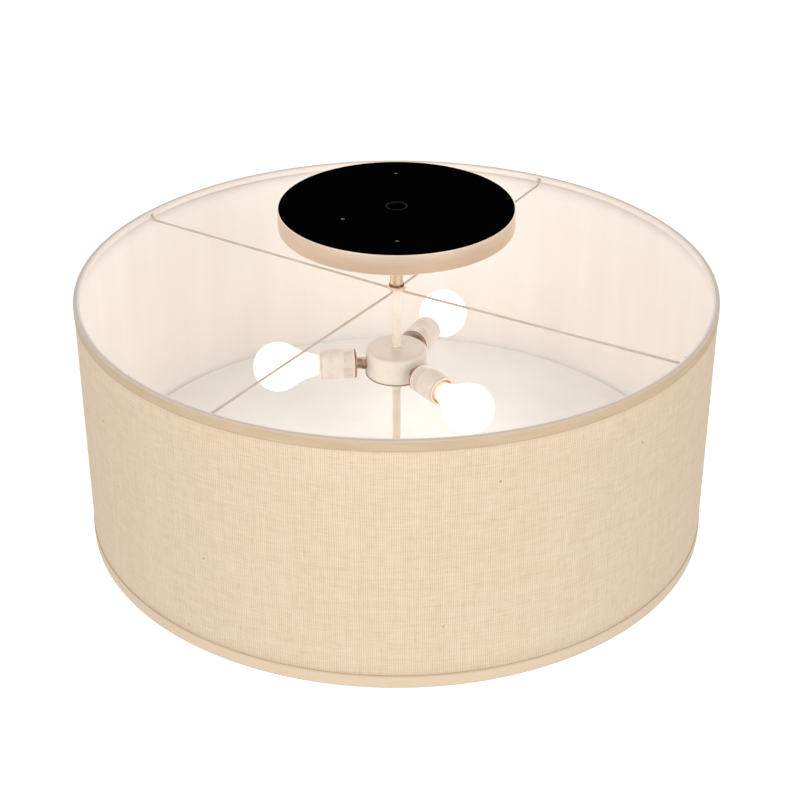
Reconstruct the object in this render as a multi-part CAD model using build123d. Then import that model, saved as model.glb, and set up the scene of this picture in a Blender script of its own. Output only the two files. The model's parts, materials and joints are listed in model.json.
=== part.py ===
from build123d import *
import os
from math import atan2, cos, hypot, sin

# Drum ceiling light. Millimetres, +Z up. The origin is the centre of the ceiling plate's top face,
# which lies on the ceiling, and the rest hangs below it.

# Driving dimensions
SHADE_DIAMETER = 762.0
SHADE_HEIGHT = 312.8
SHADE_DROP = 94.0
CANOPY_DIAMETER = 278.0
CANOPY_DEPTH = 25.0
SOCKET_COUNT = 3
FIRST_SOCKET_AZIMUTH = 65.0
ARM_AZIMUTHS = (58.5, 148.0, 238.0, 328.0)
BULB_GLOBE_RADIUS = 30.0
BULB_TIP_DISTANCE = 174.5
BULB_THREAD_PITCH = 3.629
BULB_TURNS = 4
FINIAL_THREAD_PITCH = 0.9407
FINIAL_TURNS = 10

# Threaded steel pipe that carries the wires and everything that hangs
PIPE_RADIUS = 5.0
PIPE_BORE = 3.5
THREAD_GAP = 0.05
THREAD_HOLE = PIPE_RADIUS + THREAD_GAP
CLEAR_HOLE = 5.2
LOCK_NUT_FLATS = 14.0
TOUCH_GAP = 0.05
MOVING_GAP = 0.1

# Ceiling plate and its fixings
PLATE_THICKNESS = 1.5
PLATE_RADIUS = CANOPY_DIAMETER / 2 - 1.5
BOX_SCREW_SPACING = 79.4
BOX_SLOT_WIDTH = 4.6
BOX_SLOT_LENGTH = 24.6
GROMMET_HOLE = 13.0
GROMMET_FLANGE = 15.5
GROMMET_BORE = 11.0
GROMMET_FLANGE_THICKNESS = 1.2
GROUND_SCREW_PLACE = (-62.0, -38.0)
GROUND_SCREW_RADIUS = 2.4
GROUND_HEAD_FLATS = 8.0
GROUND_HEAD_HEIGHT = 3.2
STUD_OFFSET = 100.0
STUD_RADIUS = 2.08
STUD_HOLE = 2.15
STUD_BOTTOM = -33.5
STUD_NUT_FLATS = 8.7
STUD_NUT_HEIGHT = 3.0
CAP_NUT_RADIUS = 6.5
CAP_NUT_HEIGHT = 8.5
CAP_NUT_EDGE = 0.6
CAP_NUT_DOME = 5.0

# Canopy
CANOPY_WALL = 1.2
CANOPY_EDGE = 2.5
CANOPY_RIM_STEP = 0.3
CANOPY_STUD_HOLE = 2.7
FLUSH_STEP = 0.2

# Stem, from the canopy down to the shade's hub
PIPE_TOP = -14.0
PIPE_NUT_HEIGHT = 4.0
LOCK_WASHER_RADIUS = 9.0
LOCK_WASHER_THICKNESS = 1.0
BUSHING_RADIUS = 5.0
BUSHING_BORE = 2.6
BUSHING_DEPTH = 6.0
BUSHING_FLANGE = 1.2
STEM_RADIUS = 8.0
STEM_BORE = 7.0
COLLAR_WASHER_RADIUS = 7.4
COLLAR_WASHER_THICKNESS = 1.4
COLLAR_FLATS = 20.3
COLLAR_HEIGHT = 4.6

# Spider that holds the shade
ARM_RADIUS = 1.7
ARM_DROP = 14.0
ARM_BEND = 8.0
ARM_TOP_STEP = 2.6
HUB_RADIUS = 12.0
WELD_DEPTH = 0.3
SPIDER_NUT_FLATS = 12.7
SPIDER_NUT_HEIGHT = 3.0

# Shade wall and its edges
TRIM_THICKNESS = 0.45
TRIM_INNER_LEG = 7.0
TOP_TRIM_HEIGHT = 12.5
BOTTOM_TRIM_HEIGHT = 17.5
FABRIC_THICKNESS = 0.8
LINER_THICKNESS = 0.9
EDGE_WIRE_RADIUS = 2.5
ARM_NOTCH_WIDTH = 5.0

# Lamp cluster
CLUSTER_TOP = -185.7
CLUSTER_RADIUS = 37.5
CLUSTER_HEIGHT = 32.9
CLUSTER_WALL = 1.2
CLUSTER_SHOULDER = 6.0
COVER_RADIUS = 38.3
COVER_THICKNESS = 1.2
COUPLING_RADIUS = 7.25
UPPER_COUPLING_LENGTH = 13.0
LOWER_COUPLING_LENGTH = 25.7
COUPLING_WASHER_RADIUS = 8.5
COUPLING_WASHER_THICKNESS = 1.0
PIPE_ENGAGEMENT = 6.3
SOCKET_AXIS_Z = -205.5

# One socket, measured outwards from the light's axis
NIPPLE_INNER_END = 30.0
NIPPLE_OUTER_END = 56.5
INNER_NUT_START = 32.4
INNER_NUT_THICKNESS = 3.0
SOCKET_NUT_FLATS = 13.0
OUTER_NUT_START = 37.7
OUTER_NUT_THICKNESS = 5.2
BUSH_THICKNESS = 6.4
BUSH_RADIUS = 6.95
SOCKET_RADIUS = 17.75
FIBRE_START = 49.5
FIBRE_THICKNESS = 2.4
SOCKET_MOUTH = 94.5
SOCKET_BORE = 13.95
SOCKET_FLOOR = 60.0
SOCKET_BLIND_HOLE = 57.0
SOCKET_EDGE = 1.0
BAND_START = 65.5
BAND_END = 91.5
BAND_THICKNESS = 0.15
SHELL_BORE = 13.35
SHELL_WALL = 0.5
SHELL_END = 93.9
SHELL_FLANGE_HOLE = 7.5
CONTACT_RADIUS = 5.0
CONTACT_DOME_RADIUS = 3.4
CONTACT_PLATE = 0.6
CONTACT_HEIGHT = 2.2

# One bulb, measured along the same line
BULB_CONTACT_GAP = 0.2
BULB_BUTTON_RADIUS = 4.5
BULB_BUTTON_HEIGHT = 1.2
BULB_INSULATOR_RADIUS = 9.4
BULB_INSULATOR_TAPER = 2.4
BULB_INSULATOR_DEPTH = 1.6
CAP_HOLE_RADIUS = 9.8
CAP_RADIUS = 12.95
CAP_WALL = 0.35
CAP_TAPER = 3.0
CAP_END = 91.0
NECK_RADIUS = 12.5
NECK_START = 84.0
NECK_FLARE_START = 89.0
GLASS_WALL = 0.8

# Diffuser and what holds it
DIFFUSER_RADIUS = 365.0
DIFFUSER_THICKNESS = 3.0
DIFFUSER_TOP = -360.5
DIFFUSER_HOLE = 5.5
DIFFUSER_WASHER_RADIUS = 22.0
DIFFUSER_WASHER_THICKNESS = 1.5
GASKET_RADIUS = 14.0
GASKET_THICKNESS = 1.0
STOP_NUT_HEIGHT = 4.0
FINIAL_FLANGE_RADIUS = 9.0
FINIAL_FLANGE_HEIGHT = 3.0
FINIAL_NECK_RADIUS = 6.8
FINIAL_BALL_RADIUS = 10.5
FINIAL_BALL_DROP = 15.0
FINIAL_HOLE_DEPTH = 12.4
FINIAL_HOLE = PIPE_RADIUS + 0.08
PIPE_END_DEPTH = 9.9

# Places worked out from the dimensions above
SHADE_TOP = -SHADE_DROP
SHADE_BOTTOM = SHADE_TOP - SHADE_HEIGHT
SHADE_RADIUS = SHADE_DIAMETER / 2
FABRIC_RADIUS = SHADE_RADIUS - TRIM_THICKNESS - TOUCH_GAP
LINER_RADIUS = FABRIC_RADIUS - FABRIC_THICKNESS - TOUCH_GAP
EDGE_WIRE_RING = LINER_RADIUS - LINER_THICKNESS - EDGE_WIRE_RADIUS
TRIM_INNER_RADIUS = EDGE_WIRE_RING - EDGE_WIRE_RADIUS - TRIM_THICKNESS - TOUCH_GAP
FOLD_DEPTH = TRIM_THICKNESS + TOUCH_GAP
ARM_Z = SHADE_TOP - ARM_DROP
ARM_END_RADIUS = EDGE_WIRE_RING - EDGE_WIRE_RADIUS - ARM_RADIUS + WELD_DEPTH
HUB_TOP = ARM_Z + ARM_RADIUS
HUB_BOTTOM = ARM_Z - ARM_RADIUS
STEM_BOTTOM = HUB_TOP + COLLAR_HEIGHT + COLLAR_WASHER_THICKNESS
CLUSTER_BOTTOM = CLUSTER_TOP - CLUSTER_HEIGHT
COVER_BOTTOM = CLUSTER_BOTTOM - COVER_THICKNESS
UPPER_COUPLING_BOTTOM = CLUSTER_TOP + COUPLING_WASHER_THICKNESS
UPPER_COUPLING_TOP = UPPER_COUPLING_BOTTOM + UPPER_COUPLING_LENGTH
LOWER_COUPLING_BOTTOM = COVER_BOTTOM - LOWER_COUPLING_LENGTH
NIPPLE_BOTTOM = LOWER_COUPLING_BOTTOM + LOWER_COUPLING_LENGTH / 2
WASHER_TOP = DIFFUSER_TOP - DIFFUSER_THICKNESS
FINIAL_TOP = WASHER_TOP - DIFFUSER_WASHER_THICKNESS - MOVING_GAP
GLOBE_CENTRE = BULB_TIP_DISTANCE - BULB_GLOBE_RADIUS
BULB_BASE_START = SOCKET_FLOOR + CONTACT_HEIGHT + BULB_CONTACT_GAP

STANDING = (Align.CENTER, Align.CENTER, Align.MIN)


def rod(radius, low, high):
    """A round bar about Z between two heights."""
    return Pos(0, 0, low) * Cylinder(radius, high - low, align=STANDING)


def sleeve(radius, hole, low, high):
    """A washer, ring or tube about Z between two heights."""
    return rod(radius, low, high) - rod(hole, low, high)


def hex_nut(across_flats, hole, low, high):
    """A hexagonal nut about Z, with a plain hole for its thread."""
    outline = RegularPolygon(radius=across_flats / 2, side_count=6, major_radius=False)
    return Pos(0, 0, low) * extrude(outline, amount=high - low) - rod(hole, low, high)


def turned(points):
    """A solid turned about Z from (radius, height) points."""
    outline = Polyline(*[(radius, 0, height) for radius, height in points], close=True)
    return revolve(make_face(outline), Axis.Z)


def on_socket(number):
    """The place of one socket: its Z axis runs outwards along the socket's line."""
    azimuth = FIRST_SOCKET_AZIMUTH + number * 360 / SOCKET_COUNT
    return Pos(0, 0, SOCKET_AXIS_Z) * Rot(0, 0, azimuth) * Rot(0, 90, 0)


def on_every_socket(shape):
    """The same small piece at every socket, as separate solids."""
    return Compound(children=[on_socket(number) * shape for number in range(SOCKET_COUNT)])


def at_both_studs(shape):
    """The same small piece at the two canopy studs, as separate solids."""
    return Compound(children=[Pos(0, side * STUD_OFFSET, 0) * shape for side in (-1, 1)])


def ceiling_plate():
    """The flat steel plate that is screwed to the box in the ceiling."""
    plate = rod(PLATE_RADIUS, -PLATE_THICKNESS, 0) - rod(GROMMET_HOLE, -PLATE_THICKNESS, 0)
    slot = extrude(SlotOverall(BOX_SLOT_LENGTH, BOX_SLOT_WIDTH), amount=-PLATE_THICKNESS)
    stud_hole = rod(STUD_HOLE, -PLATE_THICKNESS, 0)
    for side in (-1, 1):
        plate -= Pos(side * BOX_SCREW_SPACING / 2, 0, 0) * slot
        plate -= Pos(0, side * STUD_OFFSET, 0) * stud_hole
    return plate - Pos(*GROUND_SCREW_PLACE, 0) * rod(GROUND_SCREW_RADIUS + THREAD_GAP, -PLATE_THICKNESS, 0)


def wire_grommet():
    """The bushing that guards the supply wires, flanged below the plate."""
    flange_bottom = -PLATE_THICKNESS - GROMMET_FLANGE_THICKNESS
    flange = sleeve(GROMMET_FLANGE, GROMMET_BORE, flange_bottom, -PLATE_THICKNESS)
    return flange + sleeve(GROMMET_HOLE - TOUCH_GAP, GROMMET_BORE, -PLATE_THICKNESS, -FLUSH_STEP)


def ground_screw():
    """The earthing screw, its head inside the canopy."""
    head_bottom = -PLATE_THICKNESS - GROUND_HEAD_HEIGHT
    head = hex_nut(GROUND_HEAD_FLATS, GROUND_SCREW_RADIUS, head_bottom, -PLATE_THICKNESS)
    return Pos(*GROUND_SCREW_PLACE, 0) * (head + rod(GROUND_SCREW_RADIUS, head_bottom, -FLUSH_STEP))


def canopy():
    """The shallow metal cup that covers the ceiling plate."""
    radius = CANOPY_DIAMETER / 2
    cup = rod(radius, -CANOPY_DEPTH, -CANOPY_RIM_STEP)
    cup = fillet(cup.edges().group_by(Axis.Z)[0], CANOPY_EDGE)
    hollow = rod(radius - CANOPY_WALL, CANOPY_WALL - CANOPY_DEPTH, 0)
    hollow = fillet(hollow.edges().group_by(Axis.Z)[0], CANOPY_EDGE - CANOPY_WALL)
    cup -= hollow
    cup -= rod(CLEAR_HOLE, -CANOPY_DEPTH, 0)
    for side in (-1, 1):
        cup -= Pos(0, side * STUD_OFFSET, 0) * rod(CANOPY_STUD_HOLE, -CANOPY_DEPTH, 0)
    return cup


def cap_nut():
    """A round cap nut with a domed end, closed below."""
    top = -CANOPY_DEPTH
    nut = rod(CAP_NUT_RADIUS, top - CAP_NUT_HEIGHT, top)
    nut = chamfer(nut.edges().group_by(Axis.Z)[0], CAP_NUT_EDGE)
    dome = Pos(0, 0, top - CAP_NUT_HEIGHT) * Sphere(CAP_NUT_DOME)
    return nut + dome - rod(STUD_HOLE, STUD_BOTTOM - MOVING_GAP, top)


def pipe_bushing():
    """The plastic bushing in the pipe's upper end, where the wires leave it."""
    flange = sleeve(BUSHING_RADIUS, BUSHING_BORE, PIPE_TOP, PIPE_TOP + BUSHING_FLANGE)
    return flange + sleeve(PIPE_BORE - TOUCH_GAP, BUSHING_BORE, PIPE_TOP - BUSHING_DEPTH, PIPE_TOP)


def pipe_lock_nuts():
    """The nut inside the canopy and the one that stops the diffuser."""
    washer_top = CANOPY_WALL - CANOPY_DEPTH + LOCK_WASHER_THICKNESS
    upper = hex_nut(LOCK_NUT_FLATS, THREAD_HOLE, washer_top, washer_top + PIPE_NUT_HEIGHT)
    gasket_top = DIFFUSER_TOP + MOVING_GAP + GASKET_THICKNESS
    lower = hex_nut(LOCK_NUT_FLATS, THREAD_HOLE, gasket_top, gasket_top + STOP_NUT_HEIGHT)
    return Compound(children=[upper, lower])


def spider_hub():
    """The ring that the four arms are welded to, clamped on the pipe."""
    return sleeve(HUB_RADIUS, CLEAR_HOLE, HUB_BOTTOM, HUB_TOP)


def spider_arm(azimuth):
    """A straight wire from the hub, bent up at its end against the shade's upper edge wire."""
    start = HUB_RADIUS - WELD_DEPTH
    path = FilletPolyline(
        (start, 0, ARM_Z),
        (ARM_END_RADIUS, 0, ARM_Z),
        (ARM_END_RADIUS, 0, SHADE_TOP - ARM_TOP_STEP),
        radius=ARM_BEND,
    )
    section = Plane(origin=path @ 0, z_dir=path % 0) * Circle(ARM_RADIUS)
    return Rot(0, 0, azimuth) * sweep(section, path=path)


def edge_wire(height):
    """A round steel ring inside one edge of the shade."""
    return Pos(0, 0, height) * Torus(EDGE_WIRE_RING, EDGE_WIRE_RADIUS)


def shade_wall(radius, thickness):
    """One skin of the shade's wall, between the folds of the two trims."""
    return sleeve(radius, radius - thickness, SHADE_BOTTOM + FOLD_DEPTH, SHADE_TOP - FOLD_DEPTH)


def folded_trim(edge, height, inwards):
    """Tape folded over one edge of the shade; inwards is -1 at the top edge and 1 at the bottom."""
    outer = SHADE_RADIUS
    inner = TRIM_INNER_RADIUS
    return turned([
        (outer, edge),
        (outer, edge + inwards * height),
        (outer - TRIM_THICKNESS, edge + inwards * height),
        (outer - TRIM_THICKNESS, edge + inwards * TRIM_THICKNESS),
        (inner + TRIM_THICKNESS, edge + inwards * TRIM_THICKNESS),
        (inner + TRIM_THICKNESS, edge + inwards * TRIM_INNER_LEG),
        (inner, edge + inwards * TRIM_INNER_LEG),
        (inner, edge),
    ])


def top_trim():
    """The upper tape, slit on its inner side where the four arms come up."""
    trim = folded_trim(SHADE_TOP, TOP_TRIM_HEIGHT, -1)
    notch_depth = TRIM_INNER_LEG - TRIM_THICKNESS
    notch = Box(ARM_NOTCH_WIDTH, ARM_NOTCH_WIDTH, notch_depth, align=(Align.CENTER, Align.CENTER, Align.MAX))
    for azimuth in ARM_AZIMUTHS:
        trim -= Rot(0, 0, azimuth) * Pos(TRIM_INNER_RADIUS, 0, SHADE_TOP - TRIM_THICKNESS) * notch
    return trim


def cluster_body():
    """The painted can that holds the sockets: an inverted cup with a rounded shoulder."""
    can = rod(CLUSTER_RADIUS, CLUSTER_BOTTOM, CLUSTER_TOP)
    can = fillet(can.edges().group_by(Axis.Z)[-1], CLUSTER_SHOULDER)
    hollow = rod(CLUSTER_RADIUS - CLUSTER_WALL, CLUSTER_BOTTOM, CLUSTER_TOP - CLUSTER_WALL)
    hollow = fillet(hollow.edges().group_by(Axis.Z)[-1], CLUSTER_SHOULDER - CLUSTER_WALL)
    can -= hollow
    can -= rod(CLEAR_HOLE, CLUSTER_BOTTOM, CLUSTER_TOP)
    for number in range(SOCKET_COUNT):
        can -= on_socket(number) * rod(CLEAR_HOLE, NIPPLE_INNER_END, CLUSTER_RADIUS)
    return can


def socket_body():
    """The insulating barrel of a socket, open at its mouth, with a blind hole for the nipple."""
    start = FIBRE_START + FIBRE_THICKNESS
    barrel = rod(SOCKET_RADIUS, start, SOCKET_MOUTH)
    barrel = fillet(barrel.edges().group_by(Axis.Z)[-1], SOCKET_EDGE)
    barrel -= rod(SOCKET_BORE, SOCKET_FLOOR, SOCKET_MOUTH)
    return barrel - rod(THREAD_HOLE, start, SOCKET_BLIND_HOLE)


def screw_shell():
    """The brass shell that a bulb screws into."""
    outer = SHELL_BORE + SHELL_WALL
    floor = sleeve(outer, SHELL_FLANGE_HOLE, SOCKET_FLOOR, SOCKET_FLOOR + SHELL_WALL)
    return floor + sleeve(outer, SHELL_BORE, SOCKET_FLOOR + SHELL_WALL, SHELL_END)


def socket_contact():
    """The centre contact on the socket's floor."""
    plate_top = SOCKET_FLOOR + CONTACT_PLATE
    dome = rod(CONTACT_DOME_RADIUS, plate_top, SOCKET_FLOOR + CONTACT_HEIGHT)
    return rod(CONTACT_RADIUS, SOCKET_FLOOR, plate_top) + dome


def bulb_base():
    """The bulb's contact button on its black glass insulator."""
    button_end = BULB_BASE_START + BULB_BUTTON_HEIGHT
    taper_end = button_end + BULB_INSULATOR_TAPER
    return turned([
        (0, BULB_BASE_START),
        (BULB_BUTTON_RADIUS, BULB_BASE_START),
        (BULB_BUTTON_RADIUS, button_end),
        (BULB_INSULATOR_RADIUS, taper_end),
        (BULB_INSULATOR_RADIUS, taper_end + BULB_INSULATOR_DEPTH),
        (0, taper_end + BULB_INSULATOR_DEPTH),
    ])


def bulb_cap():
    """The bulb's screw cap: a thin shell, tapered in to the insulator."""
    start = BULB_BASE_START + BULB_BUTTON_HEIGHT + BULB_INSULATOR_TAPER
    inner = CAP_RADIUS - CAP_WALL
    return turned([
        (CAP_HOLE_RADIUS, start),
        (CAP_RADIUS, start + CAP_TAPER),
        (CAP_RADIUS, CAP_END),
        (inner, CAP_END),
        (inner, start + CAP_TAPER),
        (CAP_HOLE_RADIUS, start + CAP_WALL),
    ])


def glass_outline(offset):
    """The bulb's outline as three edges: straight neck, hollow flare, round globe.

    The flare is the arc that is tangent to the neck and to the globe. An offset moves the whole
    outline inwards. The edges run from the neck's end to the tip.
    """
    rise = GLOBE_CENTRE - NECK_FLARE_START
    span = BULB_GLOBE_RADIUS ** 2 - NECK_RADIUS ** 2
    flare = (rise ** 2 - span) / (2 * (BULB_GLOBE_RADIUS - NECK_RADIUS))
    centre_radius = NECK_RADIUS + flare
    reach = hypot(centre_radius, rise)
    half_turn = atan2(rise, centre_radius) / 2
    neck = NECK_RADIUS - offset
    globe = BULB_GLOBE_RADIUS - offset
    flare += offset
    tangent = (globe * centre_radius / reach, 0, GLOBE_CENTRE - globe * rise / reach)
    flare_middle = (centre_radius - flare * cos(half_turn), 0, NECK_FLARE_START + flare * sin(half_turn))
    neck_top = (neck, 0, NECK_FLARE_START)
    return [
        Line((neck, 0, NECK_START), neck_top),
        ThreePointArc(neck_top, flare_middle, tangent),
        ThreePointArc(tangent, (globe, 0, GLOBE_CENTRE), (0, 0, GLOBE_CENTRE + globe)),
    ]


def bulb_glass():
    """The bulb's frosted envelope, a thin shell open at the neck."""
    outside = glass_outline(0)
    inside = glass_outline(GLASS_WALL)
    closing = [
        Line(outside[0] @ 0, inside[0] @ 0),
        Line(outside[-1] @ 1, inside[-1] @ 1),
    ]
    return revolve(make_face(outside + inside + closing), Axis.Z)


def diffuser():
    """The opal disc that closes the shade from below."""
    return sleeve(DIFFUSER_RADIUS, DIFFUSER_HOLE, WASHER_TOP, DIFFUSER_TOP)


def finial():
    """The knob that screws onto the lower pipe and holds the diffuser."""
    flange_bottom = FINIAL_TOP - FINIAL_FLANGE_HEIGHT
    ball_centre = FINIAL_TOP - FINIAL_BALL_DROP
    knob = rod(FINIAL_FLANGE_RADIUS, flange_bottom, FINIAL_TOP)
    knob += rod(FINIAL_NECK_RADIUS, ball_centre, flange_bottom)
    knob += Pos(0, 0, ball_centre) * Sphere(FINIAL_BALL_RADIUS)
    return knob - rod(FINIAL_HOLE, FINIAL_TOP - FINIAL_HOLE_DEPTH, FINIAL_TOP)


def ceiling_parts():
    """The plate on the ceiling, what is fixed to it, and the canopy under it."""
    stud_nut_bottom = -PLATE_THICKNESS - STUD_NUT_HEIGHT
    return {
        "ceiling_plate": ceiling_plate(),
        "wire_grommet": wire_grommet(),
        "ground_screw": ground_screw(),
        "canopy_studs": at_both_studs(rod(STUD_RADIUS, STUD_BOTTOM, -FLUSH_STEP)),
        "stud_nuts": at_both_studs(hex_nut(STUD_NUT_FLATS, STUD_HOLE, stud_nut_bottom, -PLATE_THICKNESS)),
        "canopy": canopy(),
        "canopy_cap_nuts": at_both_studs(cap_nut()),
    }


def stem_parts():
    """The pipe and what is threaded on it, down to the spider."""
    canopy_floor = CANOPY_WALL - CANOPY_DEPTH
    washer_top = canopy_floor + LOCK_WASHER_THICKNESS
    collar_top = STEM_BOTTOM - COLLAR_WASHER_THICKNESS
    collar_bottom = collar_top - COLLAR_HEIGHT
    pipe_bottom = UPPER_COUPLING_TOP - PIPE_ENGAGEMENT
    spider_nut_bottom = HUB_BOTTOM - SPIDER_NUT_HEIGHT
    return {
        "centre_pipe": sleeve(PIPE_RADIUS, PIPE_BORE, pipe_bottom, PIPE_TOP),
        "pipe_bushing": pipe_bushing(),
        "pipe_lock_washer": sleeve(LOCK_WASHER_RADIUS, CLEAR_HOLE, canopy_floor, washer_top),
        "pipe_lock_nuts": pipe_lock_nuts(),
        "stem_tube": sleeve(STEM_RADIUS, STEM_BORE, STEM_BOTTOM, -CANOPY_DEPTH),
        "collar_washer": sleeve(COLLAR_WASHER_RADIUS, CLEAR_HOLE, collar_top, STEM_BOTTOM),
        "collar_nut": hex_nut(COLLAR_FLATS, THREAD_HOLE, collar_bottom, collar_top),
        "spider_lock_nut": hex_nut(SPIDER_NUT_FLATS, THREAD_HOLE, spider_nut_bottom, HUB_BOTTOM),
    }


def shade_parts():
    """The spider, the two edge wires, the shade's wall and its trims."""
    wire_step = FOLD_DEPTH + EDGE_WIRE_RADIUS
    parts = {
        "spider_hub": spider_hub(),
        "shade_top_ring": edge_wire(SHADE_TOP - wire_step),
        "shade_bottom_ring": edge_wire(SHADE_BOTTOM + wire_step),
        "shade_fabric": shade_wall(FABRIC_RADIUS, FABRIC_THICKNESS),
        "shade_liner": shade_wall(LINER_RADIUS, LINER_THICKNESS),
        "top_trim": top_trim(),
        "bottom_trim": folded_trim(SHADE_BOTTOM, BOTTOM_TRIM_HEIGHT, 1),
    }
    for number, azimuth in enumerate(ARM_AZIMUTHS, start=1):
        parts[f"spider_arm_{number}"] = spider_arm(azimuth)
    return parts


def cluster_parts():
    """The can, its cover, and the couplings and nipple that clamp them."""
    nipple_top = UPPER_COUPLING_BOTTOM + PIPE_ENGAGEMENT
    return {
        "upper_coupling": sleeve(COUPLING_RADIUS, THREAD_HOLE, UPPER_COUPLING_BOTTOM, UPPER_COUPLING_TOP),
        "coupling_washer": sleeve(COUPLING_WASHER_RADIUS, CLEAR_HOLE, CLUSTER_TOP, UPPER_COUPLING_BOTTOM),
        "cluster_nipple": sleeve(PIPE_RADIUS, PIPE_BORE, NIPPLE_BOTTOM, nipple_top),
        "cluster_body": cluster_body(),
        "cluster_cover": sleeve(COVER_RADIUS, CLEAR_HOLE, COVER_BOTTOM, CLUSTER_BOTTOM),
        "lower_coupling": sleeve(COUPLING_RADIUS, THREAD_HOLE, LOWER_COUPLING_BOTTOM, COVER_BOTTOM),
    }


def socket_parts():
    """Three sockets on nipples, with the small hardware that repeats at each grouped by kind."""
    inner_nut_end = INNER_NUT_START + INNER_NUT_THICKNESS
    outer_nut_end = OUTER_NUT_START + OUTER_NUT_THICKNESS
    fibre_end = FIBRE_START + FIBRE_THICKNESS
    band_radius = SOCKET_RADIUS + TOUCH_GAP
    band = sleeve(band_radius + BAND_THICKNESS, band_radius, BAND_START, BAND_END)
    bush_start = outer_nut_end + TOUCH_GAP
    parts = {
        "socket_nipples": on_every_socket(sleeve(PIPE_RADIUS, PIPE_BORE, NIPPLE_INNER_END, NIPPLE_OUTER_END)),
        "nipple_lock_nuts": on_every_socket(
            hex_nut(SOCKET_NUT_FLATS, THREAD_HOLE, INNER_NUT_START, inner_nut_end)),
        "socket_hex_nuts": on_every_socket(
            hex_nut(SOCKET_NUT_FLATS, THREAD_HOLE, OUTER_NUT_START, outer_nut_end)),
        "socket_bushings": on_every_socket(
            sleeve(BUSH_RADIUS, THREAD_HOLE, bush_start, bush_start + BUSH_THICKNESS)),
        "fibre_washers": on_every_socket(sleeve(SOCKET_RADIUS, THREAD_HOLE, FIBRE_START, fibre_end)),
        "socket_contacts": on_every_socket(socket_contact()),
        "paper_bands": on_every_socket(band),
    }
    for number in range(SOCKET_COUNT):
        place = on_socket(number)
        parts[f"socket_body_{number + 1}"] = place * socket_body()
        parts[f"screw_shell_{number + 1}"] = place * screw_shell()
    return parts


def bulb_parts():
    """Three bulbs, each with its base contact, screw cap and glass."""
    parts = {}
    for number in range(SOCKET_COUNT):
        place = on_socket(number)
        parts[f"bulb_base_{number + 1}"] = place * bulb_base()
        parts[f"bulb_cap_{number + 1}"] = place * bulb_cap()
        parts[f"bulb_glass_{number + 1}"] = place * bulb_glass()
    return parts


def diffuser_parts():
    """The lower pipe, the opal disc, its washers and the finial."""
    pipe_bottom = FINIAL_TOP - PIPE_END_DEPTH
    gasket_bottom = DIFFUSER_TOP + MOVING_GAP
    washer_bottom = WASHER_TOP - DIFFUSER_WASHER_THICKNESS
    return {
        "lower_pipe": sleeve(PIPE_RADIUS, PIPE_BORE, pipe_bottom, NIPPLE_BOTTOM - MOVING_GAP),
        "diffuser_gasket": sleeve(GASKET_RADIUS, CLEAR_HOLE, gasket_bottom, gasket_bottom + GASKET_THICKNESS),
        "diffuser": diffuser(),
        "diffuser_washer": sleeve(DIFFUSER_WASHER_RADIUS, DIFFUSER_HOLE, washer_bottom, WASHER_TOP),
        "finial": finial(),
    }


def write_parts(parts):
    """Write each piece to its own file."""
    os.makedirs("parts", exist_ok=True)
    for name, shape in parts.items():
        export_step(shape, f"parts/{name}.step")


SECTIONS = [
    ceiling_parts,
    stem_parts,
    shade_parts,
    cluster_parts,
    socket_parts,
    bulb_parts,
    diffuser_parts,
]
for section in SECTIONS:
    write_parts(section())

print("bulb travel", round(BULB_TURNS * BULB_THREAD_PITCH, 3))
print("finial travel", round(FINIAL_TURNS * FINIAL_THREAD_PITCH, 3))
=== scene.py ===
import json
from math import ceil, cos, pi, radians, sin

import bmesh
import bpy
from mathutils import Matrix, Vector


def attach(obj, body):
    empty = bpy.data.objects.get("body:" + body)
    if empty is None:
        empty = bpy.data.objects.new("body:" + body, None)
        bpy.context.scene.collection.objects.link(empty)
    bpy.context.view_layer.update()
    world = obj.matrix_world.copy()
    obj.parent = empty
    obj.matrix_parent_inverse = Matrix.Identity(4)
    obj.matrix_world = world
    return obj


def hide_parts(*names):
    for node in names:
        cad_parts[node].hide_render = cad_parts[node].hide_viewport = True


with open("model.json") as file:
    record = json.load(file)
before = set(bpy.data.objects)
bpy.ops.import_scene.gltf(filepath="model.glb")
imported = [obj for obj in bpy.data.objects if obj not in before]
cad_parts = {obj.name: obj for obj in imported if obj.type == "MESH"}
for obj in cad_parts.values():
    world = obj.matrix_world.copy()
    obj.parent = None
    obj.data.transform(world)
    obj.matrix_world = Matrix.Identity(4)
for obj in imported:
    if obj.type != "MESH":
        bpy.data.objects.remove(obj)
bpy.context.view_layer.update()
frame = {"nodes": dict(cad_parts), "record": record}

# A semi-flush drum ceiling light, lit. The frame is the part's own: the ceiling is at height 0 and the light
# hangs below it. Shapes are drawn in millimetres and each piece is scaled to metres when it is finished.
slot_of = {part["node"]: part["material_slot"] for part in frame["record"]["subparts"]}
MM = 0.001
PIPE_RADIUS = 5
NUT_BORE = 5.05
WASHER_BORE = 5.2
SOCKET_HEIGHT = -205.5
SOCKET_AZIMUTHS = (65, 185, 305)
SOCKET_RADIUS = 17.75
SCREW_PITCH = 3.629    # the household bulb's thread
GLOBE_CENTRE = 144.5    # how far out along a socket
CLUSTER_FOOT = -219.8
PLATE_UNDERSIDE = -0.0015    # in metres, as a shader reads it
ARMS = ((58.5, -105.0), (147.3, -104.0), (237.3, -104.0), (328.0, -106.0))    # azimuth, height at the bend
SHADE_TOP = -94.0
SHADE_BOTTOM = -406.8
RIM_OUTSIDE = 381
RIM_INSIDE = 373.25
EDGE_WIRE_HOOP = 376.25
SEAM_AZIMUTH = 84
SEAM_LAP = 12


# ---------------------------------------------------------------- finishes

def colour(red, green, blue):
    """A colour in screen values from 0 to 255, as the linear colour that a shader reads."""
    shares = [value / 255 for value in (red, green, blue)]
    linear = [share / 12.92 if share <= 0.04045 else ((share + 0.055) / 1.055) ** 2.4 for share in shares]
    return (*linear, 1.0)


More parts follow.
